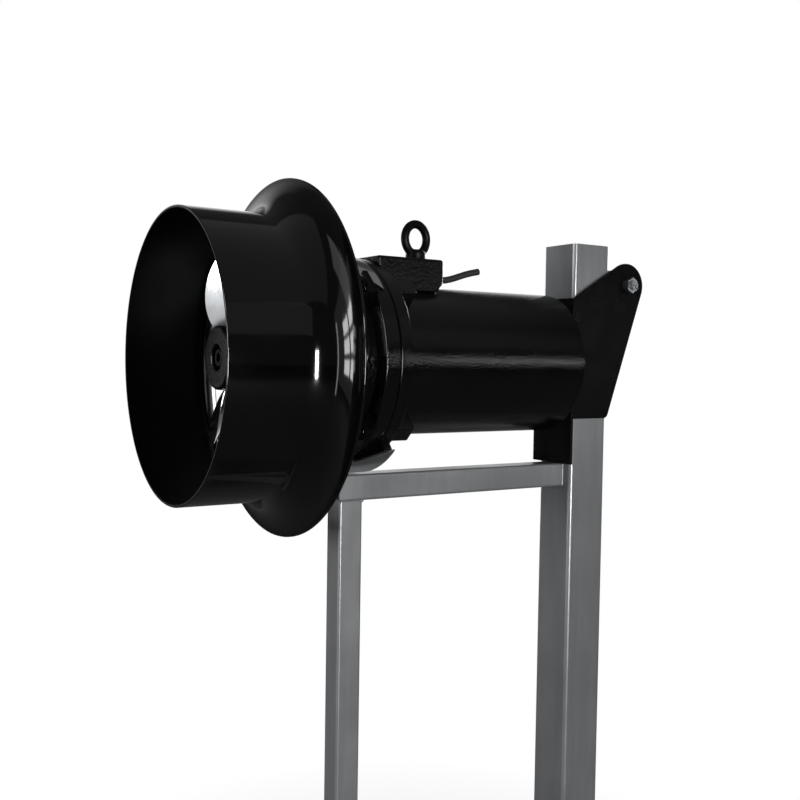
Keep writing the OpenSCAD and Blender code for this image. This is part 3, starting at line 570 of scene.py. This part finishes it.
slab(bm, pad, lambda near, up, t: beside_axis(t, near, up), JOINT_T + 1, PAD_END, edge=0.8)
piece_of(bm, "cast_motor_flange", "mixer", "textured_black_paint", "motor_flange")
bm = bmesh.new()
for boss_angle in BOSS_ANGLES:
    for radius, first, step, low, high in ((HEAD_R, 30, 60, HEAD_T, WASHER_T), (WASHER_R, 0, 15, WASHER_T, TAB_T)):
        outline = [(BOLT_R + radius * math.cos(math.radians(a)), radius * math.sin(math.radians(a)))
            for a in range(first, first + 360, step)]
        slab(bm, outline, spoke(boss_angle), low, high, edge=0.5)
piece_of(bm, "painted_flange_bolts", "mixer", "textured_black_paint", "flange_bolts")
bm = bmesh.new()
spin(bm, soften([(78, JOINT_T), (MOTOR_R, JOINT_T), (MOTOR_R, MOTOR_END), (78, MOTOR_END)], 0.4), steps=256)
piece_of(bm, "hammered_motor_casing", "mixer", "textured_black_paint", "motor_casing")

# %% [markdown]
# ## The cable box
# A rough casting that sits on the casing like a saddle, with its lower rear corner cut away at a slope. Its end
# outline, with a round hollow underneath to fit the casing, is drawn along the axis. Then one plane
# cuts the slope, and a bevel rounds the edges the way a foundry pattern is rounded.

# %% Cast the cable box
half, rise, box_end, saddle_r = 38, 117, 313, MOTOR_R + 0.1
bm = bmesh.new()
saddle = [saddle_r * math.sin(math.radians(a)) for a in range(-26, 27, 4)]
under_side = [-half] + [x for x in saddle if abs(x) < half - 1] + [half]
end_form = [(-half, rise)] + [(x, math.sqrt(saddle_r ** 2 - x ** 2)) for x in under_side] + [(half, rise)]
join(bm, [[bm.verts.new(beside_axis(t, x, y)) for x, y in end_form] for t in (BACK_T + 0.2, box_end)])
bmesh.ops.recalc_face_normals(bm, faces=bm.faces)
bmesh.ops.bisect_plane(bm, geom=bm.verts[:] + bm.edges[:] + bm.faces[:], plane_co=beside_axis(box_end, 0, 89),
    plane_no=Vector((12, 0, -11)).normalized(), clear_outer=True)
bmesh.ops.holes_fill(bm, edges=[e for e in bm.edges if e.is_boundary], sides=0)
bmesh.ops.recalc_face_normals(bm, faces=bm.faces)
round_edges = [e for e in bm.edges if e.calc_face_angle(0) > math.radians(35)
    and min(v.co.z for v in e.verts) > AXIS_Z + 77.5 * MM]
bmesh.ops.bevel(bm, geom=round_edges, offset=3.5 * MM, segments=4, profile=0.5, affect="EDGES", clamp_overlap=True)
piece_of(bm, "sand_cast_cable_box", "mixer", "black_cast_iron", "cable_box")

# %% [markdown]
# ## The lifting eye
# A forged eye bolt: a thick ring that runs into a round collar on a short shank. Forging leaves no sharp corner
# where they meet. So the ring, the collar and the shank are made as simple closed shapes, melted together by
# a voxel remesh, and smoothed a little.

# %% Forge the eye
EYE_T, EYE_BASE, EYE_TURN = 298, 119.8, math.radians(-11)
RING_UP, RING_MID, WIRE, TURNS, SIDES = 23.3, 17.5, 5.0, 96, 32


def in_eye(along, across, up):
    return beside_axis(EYE_T + along * math.cos(EYE_TURN) - across * math.sin(EYE_TURN),
        along * math.sin(EYE_TURN) + across * math.cos(EYE_TURN), EYE_BASE + up)


def round_eye(up, r, a):
    return in_eye(r * math.cos(a), r * math.sin(a), up)


bm = bmesh.new()
rows = []
turns = [2 * math.pi * j / SIDES for j in range(SIDES)]
wire = [(RING_MID + WIRE * math.cos(b), WIRE * math.sin(b)) for b in turns]
for a in [2 * math.pi * k / TURNS for k in range(TURNS)]:
    rows.append([bm.verts.new(in_eye(r * math.cos(a), side, RING_UP + r * math.sin(a))) for r, side in wire])
join(bm, rows, closed=True)
spin(bm, soften([(0, 11), (8.6, 11), (12, 7.5), (12, 0), (0, 0)], 1.0), where=round_eye, steps=64)
spin(bm, [(0, 2), (5, 2), (5, -12), (0, -12)], where=round_eye, steps=48)
eye_bolt = piece_of(bm, "forged_lifting_eye", "mixer", "black_forged_eye", "eye_bolt")
melt = eye_bolt.modifiers.new("melt", "REMESH")
melt.mode, melt.voxel_size, melt.use_smooth_shade = "VOXEL", 0.6 * MM, True
ease = eye_bolt.modifiers.new("ease", "SMOOTH")
ease.factor, ease.iterations = 0.5, 3
print("lifting eye: melted at", round(melt.voxel_size / MM, 2), "mm")

# %% [markdown]
# ## The guide bracket
# A back plate bolted to the motor, and two cheek plates that run past the post to the roller's axle. They are
# flame-cut plate, so each is an outline with a thickness and lightly broken edges. The round end
# of a cheek is part of its outline.

# %% Cut the bracket plates
ROLLER_T, ROLLER_UP, LOBE_R, CHEEK_IN, CHEEK_OUT = 606.8, 103, 29, 31.75, 36.75
TOE_UP, TOE_T, TOE_R = -63, ROLLER_T - 36, 8
PLATE_LOW, PLATE_HIGH = -129.3, 83
cheek = [(-71, PLATE_BACK + 0.1), (83.5, PLATE_BACK + 0.1)]
lobe, toe = (ROLLER_UP, ROLLER_T, LOBE_R, range(121, -21, -3)), (TOE_UP, TOE_T, TOE_R, range(-20, -91, -10))
for up, t, radius, turns in (lobe, toe):
    cheek += [(up + radius * math.sin(math.radians(a)), t + radius * math.cos(math.radians(a))) for a in turns]
for name, low, high in (("near_cheek", CHEEK_IN, CHEEK_OUT), ("far_cheek", -CHEEK_OUT, -CHEEK_IN)):
    bm = bmesh.new()
    slab(bm, cheek, lambda up, t, near: beside_axis(t, near, up), low, high, edge=0.9)
    piece_of(bm, "flame_cut_" + name, "mixer", "bracket_black_paint", name)
bm = bmesh.new()
plate = [(PLATE_LOW, -CHEEK_OUT), (PLATE_HIGH, -CHEEK_OUT), (PLATE_HIGH, CHEEK_OUT), (PLATE_LOW, CHEEK_OUT)]
slab(bm, plate, lambda up, near, t: beside_axis(t, near, up), PLATE_T, PLATE_BACK, edge=0.6)
piece_of(bm, "flame_cut_back_plate", "mixer", "bracket_black_paint", "bracket_plate")

# %% [markdown]
# ## The stand
# A tall square post is the guide rail. A lighter leg and brace hold it from the front, and two cross feet with a
# rail between them stand on the floor. All of it is square tube with rounded corners, which is where the
# paint catches the light, so the corners are real geometry.

# %% Draw the tubes
POST_X, LEG_X, BRACE_TOP, TOP_UP = 551, 207, -129.5, 153
POST_SIDE, LEG_SIDE, FOOT_SIDE, FOOT_HALF = 60, 30, 40, 190
FLOOR_UP = -AXIS_Z / MM
FOOT_TOP, RAIL_MID, UNDER_BRACE = FLOOR_UP + FOOT_SIDE, FLOOR_UP + 20, BRACE_TOP - LEG_SIDE
tubes = {
    "guide_post": (lambda u, v, w: beside_axis(POST_X + u, v, w), POST_SIDE, 5, 3, FOOT_TOP, TOP_UP),
    "front_leg": (lambda u, v, w: beside_axis(LEG_X + u, v, w), LEG_SIDE, 3, 2, FOOT_TOP, UNDER_BRACE),
    "brace": (lambda u, v, w: beside_axis(w, v, BRACE_TOP - 15 + u), LEG_SIDE, 3, 2, LEG_X - 15, POST_X - 30),
    "front_foot": (lambda u, v, w: beside_axis(LEG_X + u, w, RAIL_MID + v), FOOT_SIDE, 3, 2, -FOOT_HALF, FOOT_HALF),
    "rear_foot": (lambda u, v, w: beside_axis(POST_X + u, w, RAIL_MID + v), FOOT_SIDE, 3, 2, -FOOT_HALF, FOOT_HALF),
    "base_rail": (lambda u, v, w: beside_axis(w, v, RAIL_MID + u), LEG_SIDE, 3, 2, LEG_X + 20, POST_X - 20)}
for name, shape in tubes.items():
    bm = bmesh.new()
    tube(bm, *shape)
    if name == "guide_post":
        slab(bm, square(53.5, 2), shape[0], TOP_UP - 4, TOP_UP - 0.6, edge=0.3)
    piece_of(bm, "square_tube_" + name, "stand", "silver_paint", name)

# %% [markdown]
# ## Weld beads
# The tubes are joined by hand-laid welds. A weld is a row of overlapping drops, so a bead is a thin round section
# drawn along the joint, and its thickness rises and falls every few millimetres.

# %% Lay the welds
def bead(bm, corners, size, ripple=2.6, sides=10):
    path = []
    for a, b in zip(corners, corners[1:]):
        count = max(2, int((b - a).length / (0.65 * MM)))
        path += [a.lerp(b, k / count) for k in range(count)]
    path.append(corners[-1])
    rows, run = [], 0
    for i, point in enumerate(path):
        way = (path[min(i + 1, len(path) - 1)] - path[max(i - 1, 0)]).normalized()
        run += (point - path[i - 1]).length / MM if i else 0
        side = way.orthogonal().normalized()
        lift = way.cross(side)
        thick = size * MM * (0.86 + 0.2 * abs(math.sin(math.pi * run / ripple)) + 0.05 * math.sin(run * 0.7))
        thick *= 0.55 if i in (0, len(path) - 1) else 1
        turns = [2 * math.pi * k / sides for k in range(sides)]
        rows.append([bm.verts.new(point + (side * math.cos(a) + lift * math.sin(a)) * thick) for a in turns])
    join(bm, rows)


bm = bmesh.new()
for near in (-15, 15):
    bead(bm, [beside_axis(LEG_X + x, near * 0.985, UNDER_BRACE) for x in (-13, 13)], 1.1)
bead(bm, [beside_axis(LEG_X + 15.6, near, UNDER_BRACE - 0.4) for near in (-13.5, 13.5)], 2.0)
around = [(-13, 15), (13, 15), (15, 13), (15, -13), (13, -15), (-13, -15), (-15, -13), (-15, 13), (-13, 15)]
bead(bm, [beside_axis(POST_X - 30.4, near, BRACE_TOP - 15 + up) for near, up in around], 2.1)
for x, side in ((LEG_X, LEG_SIDE), (POST_X, POST_SIDE)):
    reach = min(side / 2 - 1, 18)
    for near in (side / 2, -side / 2):
        bead(bm, [beside_axis(x + end, near, FOOT_TOP + 0.4) for end in (-reach, reach)], 2.0)
for x in (LEG_X + 20.4, POST_X - 20.4):
    for part in (around[:4], around[6:]):
        bead(bm, [beside_axis(x, near, RAIL_MID + up) for near, up in part], 1.8)
piece_of(bm, "hand_laid_welds", "stand", "silver_paint", crease=60)

# %% [markdown]
# ## The floor
# The machine stands on a plain floor in front of white. The floor is a real grey surface that takes the shadow.
# For the camera most of it glows at a strength of one, which is white, and a little less near the machine, so that
# the shadow stays. Mirrors see the white only in the part that lies behind the machine, as a sheet would hang.

# %% Lay the floor
bm = bmesh.new()
bmesh.ops.create_grid(bm, x_segments=24, y_segments=24, size=9)
mesh = bpy.data.meshes.new("studio_floor")
bm.to_mesh(mesh)
bm.free()
floor = bpy.data.objects.new("studio_floor", mesh)
bpy.context.collection.objects.link(floor)
floor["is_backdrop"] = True
BACKWARDS = (0.53, 0.85, 0)
tree, place = new_material("floor", "matt_white_floor")
path = add(tree, "ShaderNodeLightPath")
spot = add(tree, "ShaderNodeVectorMath", {1: BACKWARDS}, {0: (place, "Object")}, operation="DOT_PRODUCT")
behind = add(tree, "ShaderNodeMapRange", {"From Min": 2.5, "From Max": 5.0}, {"Value": (spot, "Value")})
mirrored = add(tree, "ShaderNodeMath", {}, {0: (path, "Is Glossy Ray"), 1: (behind, 0)}, operation="MULTIPLY")
seen = add(tree, "ShaderNodeMath", {}, {0: (path, "Is Camera Ray"), 1: (mirrored, 0)}, operation="MAXIMUM")
seen = add(tree, "ShaderNodeMath", {}, {0: (seen, 0), 1: (path, "Is Transmission Ray")}, operation="MAXIMUM")
away = add(tree, "ShaderNodeVectorMath", {}, {0: (place, "Object")}, operation="LENGTH")
fade = add(tree, "ShaderNodeMapRange", {"From Min": 0.25, "From Max": 0.6, "To Min": 0.85, "To Max": 1.0},
    {"Value": (away, "Value")})
share = add(tree, "ShaderNodeMath", {}, {0: (seen, 0), 1: (fade, 0)}, operation="MULTIPLY")
matt = add(tree, "ShaderNodeBsdfDiffuse", {"Color": paint("#555555")})
glow = add(tree, "ShaderNodeEmission", {"Color": (1, 1, 1, 1), "Strength": 1.0})
both = add(tree, "ShaderNodeMixShader", {}, {0: (share, 0), 1: (matt, 0), 2: (glow, 0)})
add(tree, "ShaderNodeOutputMaterial", {}, {"Surface": (both, 0)})
mesh.materials.append(finishes["floor"])
print("floor laid:", len(mesh.polygons))

# %% [markdown]
# ## The background
# The world is white for the camera, at a strength of one. Mirrors see that white too, in the direction where the
# backdrop hangs and up to a little above the horizon. Everywhere else the world is a dark, even room,
# because gloss black paint needs something dark to reflect.

# %% Light the world
scene = bpy.context.scene
scene.view_settings.view_transform = "Standard"
scene.world = bpy.data.worlds.new("white_studio")
scene.world.use_nodes = True
tree = scene.world.node_tree
tree.nodes.clear()
path = add(tree, "ShaderNodeLightPath")
seen = add(tree, "ShaderNodeMath", {}, {0: (path, "Is Camera Ray"), 1: (path, "Is Transmission Ray")},
    operation="MAXIMUM")
place = add(tree, "ShaderNodeTexCoord")
facing = add(tree, "ShaderNodeVectorMath", {1: BACKWARDS}, {0: (place, "Generated")}, operation="DOT_PRODUCT")
sheet = add(tree, "ShaderNodeMapRange", {"From Min": 0.45, "From Max": 0.7}, {"Value": (facing, "Value")})
rise = add(tree, "ShaderNodeSeparateXYZ", {}, {0: (place, "Generated")})
low_down = add(tree, "ShaderNodeMapRange", {"From Min": 0.3, "From Max": 0.5, "To Min": 1.0, "To Max": 0.0},
    {"Value": (rise, "Z")})
sheet = add(tree, "ShaderNodeMath", {}, {0: (sheet, 0), 1: (low_down, 0)}, operation="MULTIPLY")
mirrored = add(tree, "ShaderNodeMath", {}, {0: (path, "Is Glossy Ray"), 1: (sheet, 0)}, operation="MULTIPLY")
seen = add(tree, "ShaderNodeMath", {}, {0: (seen, 0), 1: (mirrored, 0)}, operation="MAXIMUM")
room = add(tree, "ShaderNodeBackground", {"Color": (1, 1, 1, 1), "Strength": 0.05})
white = add(tree, "ShaderNodeBackground", {"Color": (1, 1, 1, 1), "Strength": 1.0})
both = add(tree, "ShaderNodeMixShader", {}, {0: (seen, 0), 1: (room, 0), 2: (white, 0)})
add(tree, "ShaderNodeOutputWorld", {}, {"Surface": (both, 0)})
print("world:", scene.world.name)

# %% [markdown]
# ## The lamps
# The light is soft and comes from all round. One softbox in front does most of the work, two light the back, and
# large dim panels give the gloss paint grey fields to mirror. A thin strip draws the line along the motor,
# a tall one the bright corner of the post, and nine small lamps are the panes of a window in the bell.

# %% Hang the lamps
def lamp(name, where, aim, width, height, power):
    light = bpy.data.lights.new(name, "AREA")
    light.shape, light.size, light.size_y, light.energy = "RECTANGLE", width, height, power
    holder = bpy.data.objects.new(name, light)
    turn = (Vector(aim) - Vector(where)).to_track_quat("-Z", "Y")
    holder.matrix_world = Matrix.Translation(where) @ turn.to_matrix().to_4x4()
    bpy.context.collection.objects.link(holder)


MIDDLE, BELL = (0, 0, 0.73), (-0.25, -0.1, 0.73)
lamp("ceiling_softbox", (0, -0.4, 3.6), MIDDLE, 5.0, 5.0, 9)
lamp("left_panel", (-3.2, -0.2, 0.9), MIDDLE, 4.0, 3.0, 9)
lamp("back_softbox", (0.4, 3.0, 0.75), MIDDLE, 1.1, 1.2, 22)
lamp("rear_softbox", (2.6, 1.5, 1.4), MIDDLE, 1.1, 1.4, 50)
lamp("right_panel", (1.5, -2.8, 2.4), MIDDLE, 2.4, 1.4, 1.7)
lamp("front_softbox", (-0.15, -2.9, 0.55), MIDDLE, 0.4, 1.0, 75)
lamp("strip_light", (1.9, -2.45, 0.8), MIDDLE, 1.1, 0.05, 3)
lamp("tall_left_softbox", (-1.9, -1.3, 0.7), (0.2, 0, 0.7), 0.1, 1.6, 2)
lamp("high_left_softbox", (-2.5, 0.5, 2.0), (-0.25, 0, 0.75), 1.1, 1.1, 2.6)
for row in range(3):
    for column in range(3):
        corner = (-2.6, -0.5 + 0.8 * column, 0.6 + 0.36 * row)
        lamp(f"window_pane_{row}_{column}", corner, BELL, 0.66, 0.26, 6)

# %% [markdown]
# ## Check the size and finish
# The finer pieces must not make the machine bigger than its solids. So the box of what is shown now
# is measured and printed before the scene is closed.

# %% Measure what is shown
bpy.context.view_layer.update()
low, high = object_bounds()
print("visual box:", [round(v, 4) for v in high - low])
